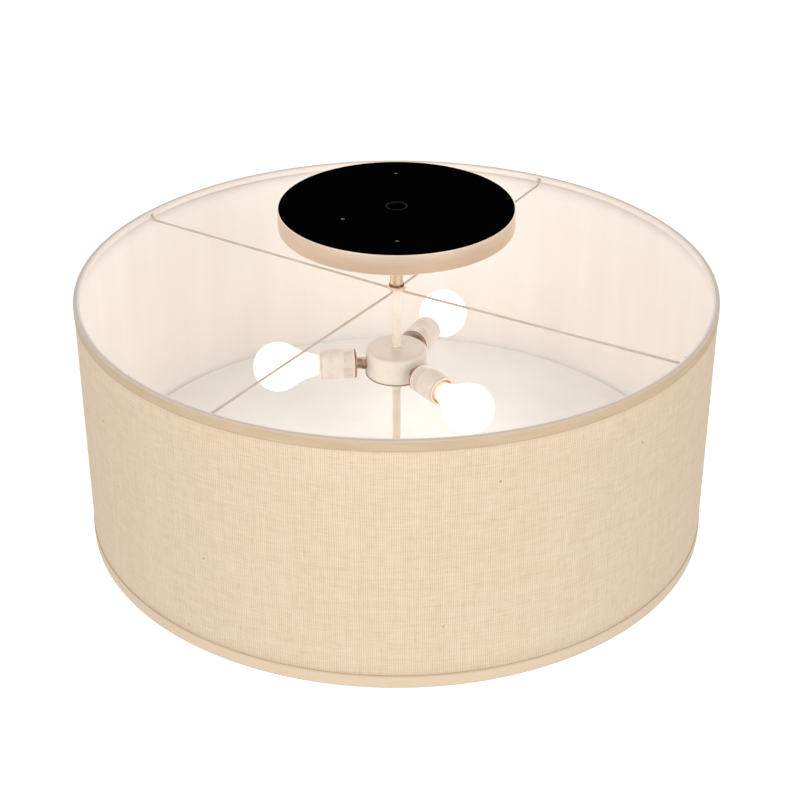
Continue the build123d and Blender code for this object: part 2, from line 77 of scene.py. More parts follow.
class Finish:
    """One material under construction. Pattern sizes are in metres, on the piece or on its own map."""

    def __init__(self, name, **sockets):
        self.material = bpy.data.materials.new(name)
        self.material.use_nodes = True
        self.tree = self.material.node_tree
        self.shader = self.tree.nodes["Principled BSDF"]
        for socket, value in sockets.items():
            self.shader.inputs[socket.replace("_", " ")].default_value = value

    def add(self, kind, sockets, **settings):
        node = self.tree.nodes.new("ShaderNode" + kind)
        for setting, value in settings.items():
            setattr(node, setting, value)
        for socket, value in sockets.items():
            if isinstance(value, bpy.types.NodeSocket):
                self.tree.links.new(value, node.inputs[socket])
            else:
                node.inputs[socket].default_value = value
        return node

    def place(self, map_name="Object"):
        return self.add("TexCoord", {}).outputs[map_name]

    def spread(self, size, map_name="Object", turn=(0, 0, 0)):
        """Coordinates in which one unit is size metres each way."""
        scale = [1 / length for length in size]
        sockets = {"Vector": self.place(map_name), "Rotation": turn, "Scale": scale}
        return self.add("Mapping", sockets).outputs[0]

    def grain(self, size, map_name="Object", detail=2.0, rough=0.5, warp=0.0):
        """Noise whose grains are size metres each way."""
        sockets = {"Vector": self.spread(size, map_name), "Scale": 1.0, "Detail": detail,
                   "Roughness": rough, "Distortion": warp}
        return self.add("TexNoise", sockets).outputs["Fac"]

    def stripes(self, width, map_name="UV", turn=0.0, warp=0.0, wander=0.0):
        """Bands, one every width metres; wander lets their spacing drift."""
        one_band_per_unit = 0.314159
        where = self.spread((width, width, 1), map_name, (0, 0, turn))
        sockets = {"Vector": where, "Scale": one_band_per_unit, "Distortion": warp, "Detail": 1.0}
        if wander:
            drift = self.grain((0.018, 0.07, 1), map_name)
            sockets["Phase Offset"] = self.part(drift, wander)
        return self.add("TexWave", sockets, wave_type="BANDS", bands_direction="X").outputs["Fac"]

    def levels(self, value, low, high, out_low=0.0, out_high=1.0):
        sockets = {"Value": value, "From Min": low, "From Max": high, "To Min": out_low, "To Max": out_high}
        return self.add("MapRange", sockets).outputs[0]

    def sum(self, first, second, operation="ADD"):
        return self.add("Math", {0: first, 1: second}, operation=operation).outputs[0]

    def part(self, value, share):
        return self.sum(value, share, "MULTIPLY")

    def weigh(self, *pairs):
        """The sum of (value, share) pairs."""
        total = None
        for value, share in pairs:
            scaled = self.part(value, share)
            total = self.sum(total, scaled) if total else scaled
        return total

    def axis(self, letter, map_name="Object"):
        return self.add("SeparateXYZ", {"Vector": self.place(map_name)}).outputs[letter]

    def reach(self):
        """How far out from the light's axis, in metres."""
        squares = [self.sum(self.axis(letter), 2.0, "POWER") for letter in "XY"]
        return self.sum(self.sum(*squares), 0.5, "POWER")

    def tint(self, share, first, second):
        return self.add("Mix", {0: share, 6: first, 7: second}, data_type="RGBA").outputs[2]

    def shade(self, value, *stops):
        """A colour ramp from (place, colour) stops."""
        ramp = self.add("ValToRGB", {"Fac": value})
        elements = ramp.color_ramp.elements
        elements[0].position, elements[0].color = stops[0]
        elements[1].position, elements[1].color = stops[-1]
        for place, stop_colour in stops[1:-1]:
            elements.new(place).color = stop_colour
        return ramp.outputs["Color"]

    def edges(self, width):
        """1 on convex edges about width metres wide, 0 on flat faces."""
        eased = self.add("Bevel", {"Radius": width}, samples=4).outputs[0]
        plain = self.add("NewGeometry", {}).outputs["Normal"]
        agree = self.add("VectorMath", {0: eased, 1: plain}, operation="DOT_PRODUCT").outputs["Value"]
        return self.levels(agree, 0.995, 0.85)

    def set(self, socket, value):
        self.tree.links.new(value, self.shader.inputs[socket])

    def bumps(self, *layers):
        """Relief from (height, strength, depth in metres) layers, one on another."""
        normal = None
        for height, strength, depth in layers:
            sockets = {"Height": height, "Strength": strength, "Distance": depth}
            if normal:
                sockets["Normal"] = normal
            normal = self.add("Bump", sockets).outputs[0]
        self.set("Normal", normal)


def brushed_nickel():
    """Satin nickel, brushed round the light's axis."""
    finish = Finish("satin_nickel", Metallic=1.0, Anisotropic=0.35)
    lines_per_metre = 3200.0
    east, north = finish.axis("X"), finish.axis("Y")
    bearing = finish.sum(north, east, "ARCTAN2")
    places = {"X": finish.part(bearing, 3.0), "Y": finish.part(finish.reach(), lines_per_metre),
              "Z": finish.part(finish.axis("Z"), lines_per_metre)}
    round_the_axis = finish.add("CombineXYZ", places).outputs[0]
    brushing = finish.add("TexNoise", {"Vector": round_the_axis, "Scale": 1.0, "Detail": 3.0}).outputs["Fac"]
    share = finish.weigh((brushing, 0.55), (finish.grain((0.09, 0.09, 0.03), detail=3.0), 0.45))
    finish.set("Base Color", finish.shade(share, (0.3, colour(216, 196, 176)), (0.7, colour(236, 217, 198))))
    finish.set("Roughness", finish.levels(share, 0.3, 0.7, 0.38, 0.26))
    finish.bumps((brushing, 0.12, 0.0001))
    return finish.material


def plated(name, dark, light, rough, crown=None):
    """Plated steel or brass: soft blotches, fine scratches and brighter worn edges.

    The crown is a colour brushed over all that stands higher than the ceiling plate's underside.
    """
    finish = Finish(name, Metallic=1.0)
    blotch = finish.grain((0.012, 0.012, 0.012), detail=4.0, rough=0.6)
    scratch = finish.grain((0.0004, 0.0004, 0.006))
    share = finish.weigh((blotch, 0.7), (scratch, 0.3))
    base = finish.tint(finish.part(finish.edges(0.0004), 0.5),
                       finish.shade(share, (0.32, dark), (0.68, light)), light)
    if crown:
        painted_over = finish.levels(finish.axis("Z"), PLATE_UNDERSIDE - 0.0001, PLATE_UNDERSIDE + 0.0003)
        base = finish.tint(painted_over, base, crown)
    finish.set("Base Color", base)
    finish.set("Roughness", finish.levels(share, 0.3, 0.7, rough + 0.08, rough - 0.06))
    finish.bumps((scratch, 0.15, 0.00008))
    return finish.material


def painted(name, dark, light, rough, peel=0.0016):
    """Sprayed paint: faint orange peel, soft tone changes and paler rubbed edges."""
    finish = Finish(name, Coat_Weight=0.12, Coat_Roughness=0.3)
    cloud = finish.grain((0.03, 0.03, 0.03), detail=3.0)
    share = finish.weigh((cloud, 0.75), (finish.grain((0.0012, 0.0012, 0.0012)), 0.25))
    base = finish.shade(share, (0.35, dark), (0.65, light))
    finish.set("Base Color", finish.tint(finish.part(finish.edges(0.0006), 0.35), base, light))
    finish.set("Roughness", finish.levels(cloud, 0.3, 0.7, rough + 0.05, rough - 0.05))
    finish.bumps((finish.grain((peel, peel, peel), detail=1.0), 0.08, 0.0001))
    return finish.material


def cluster_paint():
    """The cream paint of the cluster, with painted shade: faces that look up are tinted a little greyer and
    darker.
    """
    finish = Finish("cluster_paint", Coat_Weight=0.12, Coat_Roughness=0.3)
    cloud = finish.grain((0.025, 0.025, 0.025), detail=3.0)
    share = finish.weigh((cloud, 0.75), (finish.grain((0.0012, 0.0012, 0.0012)), 0.25))
    base = finish.shade(share, (0.35, colour(239, 228, 217)), (0.65, colour(248, 239, 229)))
    normal = finish.add("NewGeometry", {}).outputs["Normal"]
    # Painted shade: faces that look up are tinted greyer and darker than the sides.
    shaded_top = finish.levels(finish.add("SeparateXYZ", {"Vector": normal}).outputs["Z"], 0.4, 0.95)
    base = finish.tint(finish.part(shaded_top, 0.65), base, colour(219, 203, 190))
    finish.set("Base Color", base)
    finish.set("Roughness", finish.levels(cloud, 0.3, 0.7, 0.45, 0.36))
    finish.bumps((finish.grain((0.0016, 0.0016, 0.0016), detail=1.0), 0.08, 0.0001))
    return finish.material


def linen():
    """Plain-woven linen on its own map: upright and cross threads, slubs, broad streaks and a few knots."""
    thread_spacing = 0.00234
    finish = Finish("linen", Roughness=0.95, Specular_IOR_Level=0.15, Sheen_Weight=0.1, Sheen_Roughness=0.6)
    upright = finish.stripes(thread_spacing, warp=0.7, wander=9.0)
    uneven = finish.grain((0.0013, 0.03, 1), "UV", detail=3.0, rough=0.6)
    across = finish.grain((0.02, 0.0018, 1), "UV", detail=3.0, rough=0.6)
    patches = finish.grain((0.016, 0.02, 1), "UV", detail=3.0)
    raised = finish.sum(finish.levels(patches, 0.35, 0.65, 0.45, 1.0), finish.sum(upright, 0.5, "SUBTRACT"),
                        "MULTIPLY")
    crossing = finish.levels(finish.stripes(0.0046, turn=pi / 2, warp=1.2), 0.0, 1.0, -0.3, 1.0)
    dots = finish.sum(raised, crossing, "MULTIPLY")
    threads = finish.weigh((raised, 0.3), (dots, 0.18), (uneven, 0.42), (across, 0.5))
    streaks = finish.grain((0.006, 0.3, 1), "UV", detail=2.0, rough=0.6)
    courses = finish.grain((0.25, 0.008, 1), "UV", detail=2.0, rough=0.6)
    tone = finish.weigh((threads, 0.85), (streaks, 0.16), (courses, 0.16), (patches, 0.16))
    cloth = finish.shade(tone, (0.3, colour(212, 184, 151)), (0.52, colour(230, 205, 175)),
                         (0.78, colour(246, 226, 202)))
    slub_lines = finish.levels(finish.grain((0.014, 0.0013, 1), "UV", detail=0.0), 0.74, 0.84)
    slub_posts = finish.levels(finish.grain((0.0014, 0.02, 1), "UV", detail=0.0), 0.74, 0.84)
    slubs = finish.sum(slub_lines, slub_posts, "MAXIMUM")
    cloth = finish.tint(finish.part(slubs, 0.4), cloth, colour(214, 189, 160))
    knots = finish.add("TexVoronoi", {"Vector": finish.spread((0.03, 0.03, 1), "UV"), "Scale": 1.0})
    near = finish.levels(knots.outputs["Distance"], 0.055, 0.025)
    lots = finish.add("SeparateColor", {"Color": knots.outputs["Color"]}).outputs[0]
    chosen = finish.levels(lots, 0.64, 0.66)
    finish.set("Base Color", finish.tint(finish.part(near, chosen), cloth, colour(182, 148, 112)))
    finish.bumps((threads, 0.35, 0.0005), (slubs, 0.35, 0.0004))
    return finish.material


def folded_tape():
    """Cotton tape on its own map, whose V runs across it.

    It has dense slanting ribs, painted light on the fold at the top rim that tints its top face paler and
    greyer, a darker band along the outer leg's free edge and a white inner side, and the lower tape is close
    to the linen's own colour.
    """
    finish = Finish("trim_tape", Roughness=0.9, Specular_IOR_Level=0.2, Sheen_Weight=0.15)
    ribs = finish.stripes(0.0011, turn=radians(38), warp=0.6)
    weave = finish.grain((0.0009, 0.0007, 1), "UV")
    cloud = finish.grain((0.06, 0.006, 1), "UV", detail=3.0)
    share = finish.weigh((ribs, 0.35), (weave, 0.35), (cloud, 0.3))
    cloth = finish.shade(share, (0.28, colour(198, 170, 137)), (0.5, colour(220, 195, 162)),
                         (0.72, colour(233, 212, 183)))
    # Painted light: the tape's top face over the rim is tinted paler and greyer, as if lit from above.
    fold = finish.levels(finish.axis("Z"), SHADE_TOP * MM - 0.0016, SHADE_TOP * MM - 0.0002)
    cloth = finish.tint(finish.part(fold, 0.85), cloth, colour(216, 203, 194))
    # The outer leg is tinted darker along its free edge.
    free_edge_band = finish.levels(finish.axis("Y", "UV"), 0.0013, 0.0004)
    cloth = finish.tint(finish.part(free_edge_band, 0.45), cloth, colour(192, 164, 134))
    low = finish.levels(finish.axis("Z"), SHADE_BOTTOM * MM + 0.0168, SHADE_BOTTOM * MM + 0.0138)
    cloth = finish.tint(finish.part(low, 0.72), cloth, colour(246, 225, 198))
    inside = finish.levels(finish.reach(), (EDGE_WIRE_HOOP + 0.55) * MM, (EDGE_WIRE_HOOP - 0.65) * MM)
    lining = finish.shade(share, (0.3, colour(240, 229, 219)), (0.7, colour(248, 240, 232)))
    finish.set("Base Color", finish.tint(inside, cloth, lining))
    finish.bumps((ribs, 0.4, 0.0003), (weave, 0.4, 0.0003))
    return finish.material


def shade_film():
    """The smooth white film behind the linen, with the weave just showing in its colour."""
    finish = Finish("shade_film", Roughness=0.45, Specular_IOR_Level=0.35)
    cloud = finish.grain((0.04, 0.25, 1), "UV", detail=3.0)
    weave = finish.grain((0.0018, 0.0024, 1), "UV", detail=1.0)
    share = finish.weigh((cloud, 0.7), (weave, 0.3))
    finish.set("Base Color", finish.shade(share, (0.3, colour(244, 236, 229)), (0.7, colour(249, 243, 237))))
    waves = finish.grain((0.03, 0.3, 1), "UV", detail=1.0)
    finish.bumps((waves, 0.06, 0.002))
    return finish.material


def frosted_glass():
    """A lit bulb's frosted envelope: chalky white, its globe glowing evenly and its neck less.

    The glow is stronger further from the light's axis, and full from the globe's near side outwards.
    """
    finish = Finish("frosted_glass", Emission_Strength=1.0, Coat_Weight=0.3, Coat_Roughness=0.3)
    frost = finish.grain((0.0012, 0.0012, 0.0012), detail=3.0)
    finish.set("Base Color", finish.shade(frost, (0.3, colour(244, 242, 238)), (0.7, colour(252, 251, 249))))
    glow = finish.levels(finish.reach(), 0.088, 0.122)
    finish.set("Emission Color", finish.shade(glow, (0.0, (0.1, 0.06, 0.04, 1)), (1.0, (0.8, 0.78, 0.75, 1))))
    finish.set("Roughness", finish.levels(frost, 0.3, 0.7, 0.5, 0.36))
    finish.bumps((frost, 0.06, 0.0001))
    return finish.material


def opal_acrylic():
    """Opal acrylic sheet: milky right through, satin on both faces."""
    finish = Finish("opal_acrylic", Subsurface_Weight=0.6, Subsurface_Scale=0.008,
                    Subsurface_Radius=(1.0, 0.9, 0.8), Specular_IOR_Level=0.4)
    cloud = finish.grain((0.12, 0.12, 0.12), detail=3.0)
    grit = finish.grain((0.001, 0.001, 0.001))
    finish.set("Base Color", finish.shade(cloud, (0.35, colour(243, 239, 233)), (0.65, colour(249, 246, 241))))
    finish.set("Roughness", finish.levels(grit, 0.3, 0.7, 0.5, 0.4))
    finish.bumps((grit, 0.05, 0.0001))
    return finish.material


def matt_black():
    """Matt black paint on the ceiling plate."""
    finish = Finish("black_plate", Specular_IOR_Level=0.0, IOR=1.02)
    grit = finish.grain((0.0009, 0.0009, 0.0009), detail=3.0)
    finish.set("Base Color", finish.shade(grit, (0.35, colour(1, 1, 1)), (0.7, colour(7, 7, 7))))
    finish.set("Roughness", finish.levels(grit, 0.3, 0.7, 0.95, 0.8))
    finish.bumps((grit, 0.15, 0.0001))
    return finish.material


def moulded(name, dark, light, rough=0.6, gloss=0.35):
    """Moulded rubber or nylon, slightly mottled."""
    finish = Finish(name, Specular_IOR_Level=gloss)
    mottle = finish.grain((0.004, 0.004, 0.004), detail=4.0, rough=0.6)
    finish.set("Base Color", finish.shade(mottle, (0.35, dark), (0.65, light)))
    finish.set("Roughness", finish.levels(mottle, 0.3, 0.7, rough + 0.1, rough - 0.1))
    finish.bumps((mottle, 0.1, 0.0002))
    return finish.material


def pressed_fibre():
    """Vulcanised fibre board: orange-brown with fine darker fibres."""
    finish = Finish("red_fibre", Specular_IOR_Level=0.3)
    fibres = finish.grain((0.0008, 0.0035, 0.0008), detail=4.0, rough=0.7, warp=0.5)
    finish.set("Base Color", finish.shade(fibres, (0.3, colour(156, 84, 52)), (0.7, colour(198, 122, 82))))
    finish.set("Roughness", finish.levels(fibres, 0.3, 0.7, 0.8, 0.6))
    finish.bumps((fibres, 0.25, 0.0002))
    return finish.material


def socket_paper():
    """Blank white paper, a little fibrous and yellowed."""
    finish = Finish("blank_paper", Specular_IOR_Level=0.25)
    fibres = finish.grain((0.0011, 0.0004, 0.0011), detail=4.0, rough=0.65, warp=0.8)
    age = finish.grain((0.012, 0.012, 0.012))
    share = finish.weigh((fibres, 0.5), (age, 0.5))
    finish.set("Base Color", finish.shade(share, (0.35, colour(234, 221, 212)), (0.65, colour(248, 239, 231))))
    finish.set("Roughness", finish.levels(fibres, 0.3, 0.7, 0.85, 0.7))
    finish.bumps((fibres, 0.1, 0.0001))
    return finish.material


def glazed_barrel():
    """The glazed ceramic of the socket barrels."""
    finish = Finish("porcelain", Coat_Weight=0.4, Coat_Roughness=0.12)
    cloud = finish.grain((0.01, 0.01, 0.01), detail=3.0)
    specks = finish.levels(finish.grain((0.0011, 0.0011, 0.0011), detail=0.0), 0.76, 0.82)
    glaze = finish.shade(cloud, (0.35, colour(220, 209, 197)), (0.65, colour(234, 225, 214)))
    finish.set("Base Color", finish.tint(finish.part(specks, 0.5), glaze, colour(176, 160, 144)))
    finish.set("Roughness", finish.levels(cloud, 0.3, 0.7, 0.4, 0.28))
    finish.bumps((cloud, 0.08, 0.0006))
    return finish.material


FINISHES = {
    "black_plate": matt_black(),
    "black_rubber": moulded("black_rubber", colour(5, 5, 5), colour(12, 12, 11), gloss=0.05),
    "green_screw": plated("green_screw", colour(44, 96, 58), colour(96, 150, 96), 0.35,
                          crown=colour(8, 8, 8)),
    "zinc_steel": plated("zinc_steel", colour(168, 160, 150), colour(212, 206, 198), 0.32,
                         crown=colour(8, 8, 8)),
    # Painted shade: the collar spacer is dark brown to stand for the shadow in the gap between the stem sleeve
    # and the collar.
    "groove_steel": plated("groove_steel", colour(112, 88, 72), colour(152, 126, 106), 0.4),
    "dark_steel": plated("dark_steel", colour(128, 98, 76), colour(176, 146, 122), 0.35),
    "satin_nickel": brushed_nickel(),
    "collar_nickel": plated("collar_nickel", colour(234, 214, 194), colour(250, 236, 220), 0.34),
    "cream_paint": painted("cream_paint", colour(234, 222, 210), colour(243, 232, 221), 0.4),
    "cluster_paint": cluster_paint(),
    "lid_edge": painted("lid_edge", colour(150, 112, 86), colour(186, 150, 124), 0.5),
    "beige_paint": painted("beige_paint", colour(222, 208, 190), colour(238, 226, 210), 0.42),
    "spider_wire": painted("spider_wire", colour(188, 172, 157), colour(210, 195, 180), 0.35, peel=0.0008),
    "white_nylon": moulded("white_nylon", colour(240, 235, 228), colour(249, 246, 241), 0.45),
    "linen": linen(),
    "trim_tape": folded_tape(),
    "shade_film": shade_film(),
    "red_fibre": pressed_fibre(),
    "porcelain": glazed_barrel(),
    "glazed_foot": painted("glazed_foot", colour(246, 238, 230), colour(252, 247, 241), 0.3),
    "blank_paper": socket_paper(),
    "brass": plated("brass", colour(214, 150, 72), colour(250, 200, 118), 0.24),
    "bulb_cap_metal": plated("bulb_cap_metal", colour(196, 192, 184), colour(226, 223, 216), 0.25),
    "bulb_contact": moulded("bulb_contact", colour(24, 22, 24), colour(52, 48, 50), 0.3),
    "frosted_glass": frosted_glass(),
    "opal_acrylic": opal_acrylic(),
    "grey_gasket": moulded("grey_gasket", colour(120, 117, 113), colour(148, 145, 141)),
}


# ---------------------------------------------------------------- shaping

def outline(points, rounds=None, closed=True):
    """A line through (radius, height) points, with the numbered corners rounded."""
    mesh = bmesh.new()
    corners = [mesh.verts.new((radius, 0, height)) for radius, height in points]
    for start, end in zip(corners, corners[1:]):
        mesh.edges.new((start, end))
    if closed:
        mesh.edges.new((corners[-1], corners[0]))
    for number, radius in (rounds or {}).items():
        bmesh.ops.bevel(mesh, geom=[corners[number]], offset=radius, segments=4, profile=0.5,
                        affect="VERTICES", material=-1)
    return mesh


def arc(mesh, start, centre, degrees, steps):
    """Carry a point of a flat outline round a centre; gives the arc's last point."""
    swept = bmesh.ops.spin(mesh, geom=[start], cent=(centre[0], 0, centre[1]), axis=(0, 1, 0),
                           angle=radians(degrees), steps=steps)
    return [item for item in swept["geom_last"] if isinstance(item, bmesh.types.BMVert)][0]


def line(mesh, start, end):
    """Carry on a flat outline with a straight run; gives its last point."""
    point = mesh.verts.new((end[0], 0, end[1]))
    mesh.edges.new((start, point))
    return point


def close_up(mesh):
    """Merge doubled points and turn every face outwards."""
    bmesh.ops.remove_doubles(mesh, verts=mesh.verts, dist=0.0005)
    bmesh.ops.recalc_face_normals(mesh, faces=mesh.faces)
    return mesh


def lathe(mesh, steps=64):
    """Spin an outline right round the upright axis."""
    bmesh.ops.spin(mesh, geom=mesh.verts[:] + mesh.edges[:], cent=(0, 0, 0), axis=(0, 0, 1), angle=2 * pi,
                   steps=steps, use_merge=True)
    return close_up(mesh)


def turned(points, rounds=None, steps=64, closed=True):
    return lathe(outline(points, rounds, closed), steps)


def ring(inner, outer, low, high, edge=0.2, steps=64):
    """A washer, sleeve or disc with a hole, its four edges eased."""
    points = [(inner, low), (outer, low), (outer, high), (inner, high)]
    return turned(points, {0: edge, 1: edge, 2: edge, 3: edge}, steps)


def wire_hoop(radius, thickness, height):
    """A round wire bent into a hoop."""
    mesh = bmesh.new()
    place = Matrix.Translation((radius, 0, height)) @ Matrix.Rotation(pi / 2, 4, "X")
    bmesh.ops.create_circle(mesh, segments=16, radius=thickness, matrix=place)
    return lathe(mesh, 360)


def cut(mesh, place, away):
    """Cut off what lies on the far side of a plane."""
    bmesh.ops.bisect_plane(mesh, geom=mesh.verts[:] + mesh.edges[:] + mesh.faces[:], plane_co=place,
                           plane_no=away, clear_outer=True, dist=0.0001)


def cap_ends(mesh):
    """Close every open end with a flat face."""
    bmesh.ops.holes_fill(mesh, edges=[edge for edge in mesh.edges if edge.is_boundary], sides=0)
    return close_up(mesh)


def thread(root, crest, pitch, low, high, steps=24, waves=False):
    """The skin of a right-handed thread between two heights, open at both ends.

    Its ridge is flat-topped, or a smooth wave as on rolled sheet metal.
    """
    mesh = bmesh.new()
    if waves:
        places = [(step / 8, (1 - cos(2 * pi * step / 8)) / 2) for step in range(9)]
    else:
        places = [(0, 0), (0.44, 1), (0.56, 1), (1, 0)]
    start = low - 1.5 * pitch
    ridge = [mesh.verts.new((root + (crest - root) * rise, 0, start + pitch * share))
             for share, rise in places]
    edges = [mesh.edges.new(pair) for pair in zip(ridge, ridge[1:])]
    turns = ceil((high - low) / pitch) + 3
    bmesh.ops.spin(mesh, geom=ridge + edges, cent=(0, 0, 0), axis=(0, 0, 1), angle=2 * pi * turns,
                   dvec=(0, 0, pitch / steps), steps=steps * turns)
    bmesh.ops.remove_doubles(mesh, verts=mesh.verts, dist=0.002)
    cut(mesh, (0, 0, low), (0, 0, -1))
    cut(mesh, (0, 0, high), (0, 0, 1))
    return mesh


def stud(root, crest, pitch, low, high, waves=False):
    """A solid threaded rod."""
    return cap_ends(thread(root, crest, pitch, low, high, waves=waves))


def hexagon(across_flats, low, high, twist=0):
    """A hexagonal nut: a turned blank with eased rims and a bore, cut flat on six sides."""
    corner = across_flats / 3 ** 0.5
    rim = 0.12 * corner
    mesh = turned([(NUT_BORE, low), (corner - rim, low), (corner, low + rim / 2), (corner, high - rim / 2),
                   (corner - rim, high), (NUT_BORE, high)], {0: 0.15, 5: 0.15}, 72)
    for side in range(6):
        bearing = radians(twist + 60 * side)
        away = Vector((cos(bearing), sin(bearing), 0))
        cut(mesh, away * across_flats / 2, away)
        bmesh.ops.holes_fill(mesh, edges=[edge for edge in mesh.edges if edge.is_boundary], sides=0)
    return close_up(mesh)


def together(*shapes):
    """One mesh that holds several finished shapes."""
    mesh = bmesh.new()
    for shape in shapes:
        spare = bpy.data.meshes.new("spare")
        shape.to_mesh(spare)
        shape.free()
        mesh.from_mesh(spare)
        bpy.data.meshes.remove(spare)
    return mesh


def moved(mesh, place):
    bmesh.ops.transform(mesh, matrix=place, verts=mesh.verts)
    return mesh


def along_socket(azimuth):
    """The place that lays a shape standing on the axis outwards along one socket."""
    return Matrix.Translation((0, 0, SOCKET_HEIGHT)) @ Matrix.Rotation(radians(azimuth), 4, "Z") \
        @ Matrix.Rotation(pi / 2, 4, "Y")


def on_every_socket(draw):
    """One mesh with the same small shape at all three sockets."""
    return together(*[moved(draw(), along_socket(azimuth)) for azimuth in SOCKET_AZIMUTHS])


def piece(name, mesh, finish, *nodes, body="fixture", smooth=32):
    """Make a finished mesh a piece of the light that rides on a body and stands for its CAD nodes."""
    bmesh.ops.scale(mesh, vec=(MM, MM, MM), verts=mesh.verts)
    data = bpy.data.meshes.new(name)
    mesh.to_mesh(data)
    mesh.free()
    made = bpy.data.objects.new(name, data)
    bpy.context.scene.collection.objects.link(made)
    data.materials.append(FINISHES[finish])
    data.shade_smooth()
    data.set_sharp_from_angle(angle=radians(smooth))
    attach(made, body)
    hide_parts(*nodes)
    return made


# ---------------------------------------------------------------- ceiling plate and canopy

def canopy_cup():
    """The spun metal cup: eased rim, straight side, rounded lower edge and a flat floor."""
    outside, inside = 139, 137.8
    wall = [(WASHER_BORE, -25), (outside, -25), (outside, -0.3), (inside, -0.3), (inside, -23.8),
            (WASHER_BORE, -23.8)]
    return turned(wall, {1: 2.5, 2: 0.5, 3: 0.5, 4: 1.3}, 192)


def grommet():
    """The rubber bushing in the plate's middle hole, with a plump flange under it."""
    points = [(11, -2.7), (15.5, -2.7), (15.5, -1.5), (12.95, -1.5), (12.95, -0.2), (11, -0.2)]
    return turned(points, {0: 0.5, 1: 0.5, 2: 0.5, 4: 0.4, 5: 0.5})


def cap_nut(side):
    """A round cap nut with a dome below and a knurled grip."""
    mesh = bmesh.new()
    tip = mesh.verts.new((0, 0, -38.5))
    end = arc(mesh, tip, (0, -33.5), -90, 8)
    grip_low, grip_high = -32.2, -25.8
    for place in ((5.9, -33.5), (6.5, -32.9), (6.5, grip_low), (6.5, grip_high), (6.5, -25.3), (6.2, -25),
                  (0, -25)):
        end = line(mesh, end, place)
    lathe(mesh, 40)
    grip = [face for face in mesh.faces
            if grip_low - 0.1 < face.calc_center_median().z < grip_high + 0.1 and face.normal.z ** 2 < 0.1]
    bmesh.ops.inset_individual(mesh, faces=grip, thickness=0.16, depth=-0.22)
    return moved(close_up(mesh), Matrix.Translation((0, side * 100, 0)))


piece("canopy_cup", canopy_cup(), "satin_nickel", "canopy")
piece("plate_grommet", grommet(), "black_rubber", "wire_grommet")
piece("canopy_knurled_nuts", together(cap_nut(-1), cap_nut(1)), "satin_nickel", "canopy_cap_nuts")


# ---------------------------------------------------------------- stem and spider

def arm(azimuth, height):
    """One spider wire, rising a little from the hub and bent up at its end against the rim."""
    start, start_height, top = 8.6, -108.4, -96.6
    corner, bend_radius = 366.4, 6
    mesh = bmesh.new()
    place = Matrix.Translation((start, 0, start_height)) @ Matrix.Rotation(pi / 2, 4, "Y")
    bmesh.ops.create_circle(mesh, segments=16, radius=1.4, matrix=place)
    straight = bmesh.ops.extrude_edge_only(mesh, edges=mesh.edges[:])["geom"]
    bmesh.ops.translate(mesh, vec=(corner - start, 0, height - start_height),
                        verts=of_kind(straight, bmesh.types.BMVert))
    end = of_kind(straight, bmesh.types.BMEdge) + of_kind(straight, bmesh.types.BMVert)
    bend = bmesh.ops.spin(mesh, geom=end, cent=(corner, 0, height + bend_radius), axis=(0, 1, 0),
                          angle=-pi / 2, steps=10)["geom_last"]
    post = bmesh.ops.extrude_edge_only(mesh, edges=of_kind(bend, bmesh.types.BMEdge))["geom"]
    bmesh.ops.translate(mesh, vec=(0, 0, top - height - bend_radius), verts=of_kind(post, bmesh.types.BMVert))
    return moved(cap_ends(mesh), Matrix.Rotation(radians(azimuth), 4, "Z"))


def of_kind(items, kind):
    return [item for item in items if isinstance(item, kind)]


def spider_hub():
    """The hub that holds the four wires under the collar, tapered below."""
    points = [(WASHER_BORE, -109.7), (6.6, -109.7), (9.9, -108.2), (9.9, -106.3), (WASHER_BORE, -106.3)]
    return turned(points, {1: 0.6, 2: 0.6, 3: 0.3})


def pipe_nuts():
    """The lock nut inside the canopy and the stop nut over the diffuser."""
    return together(hexagon(14, -22.8, -18.8, 10), hexagon(14, -359.4, -355.4, 25))


piece("stem_sleeve", ring(7, 8, -100.3, -25, 0.25), "satin_nickel", "stem_tube")
# The spacer's dark brown finish is painted shade in the gap under the stem sleeve.
piece("collar_spacer", ring(WASHER_BORE, 9.5, -101.9, -100.3, 0.4), "groove_steel", "collar_washer")
piece("collar_hexagon", hexagon(20.9, -106.3, -101.9, 12), "collar_nickel", "collar_nut")
piece("spider_ring", spider_hub(), "cream_paint", "spider_hub")
piece("spider_hexagon", hexagon(12.7, -112.7, -109.7, 5), "cream_paint", "spider_lock_nut")
piece("pipe_hexagons", pipe_nuts(), "zinc_steel", "pipe_lock_nuts")
piece("hanging_pipe", ring(3.5, PIPE_RADIUS, -178, -14, 0.3), "cream_paint", "centre_pipe")
for number, (azimuth, height) in enumerate(ARMS, start=1):
    piece(f"arm_wire_{number}", arm(azimuth, height), "spider_wire", f"spider_arm_{number}")


# ---------------------------------------------------------------- shade

def rolled_sheet(radius, lap, lift):
    """A flat sheet with its own map in metres, rolled into the drum; its last end laps over its first."""
    length = 2 * pi * radius + lap
    height = SHADE_TOP - SHADE_BOTTOM - 1
    mesh = bmesh.new()
    bmesh.ops.create_grid(mesh, x_segments=384, y_segments=10, size=0.5,
                          matrix=Matrix.Diagonal((length, height, 1, 1)))
    layer = mesh.loops.layers.uv.new("wrap")
    for face in mesh.faces:
        for corner in face.loops:
            corner[layer].uv = ((corner.vert.co.x + length / 2) * MM, (corner.vert.co.y + height / 2) * MM)
    for point in mesh.verts:
        run = point.co.x + length / 2
        raised = radius + lift * min(1, max(0, run - (length - lap - 4)) / 3)
        bearing = radians(SEAM_AZIMUTH) + run / radius
        point.co = (raised * cos(bearing), raised * sin(bearing), point.co.y + (SHADE_TOP + SHADE_BOTTOM) / 2)
    bmesh.ops.remove_doubles(mesh, verts=mesh.verts, dist=0.001)
    return mesh


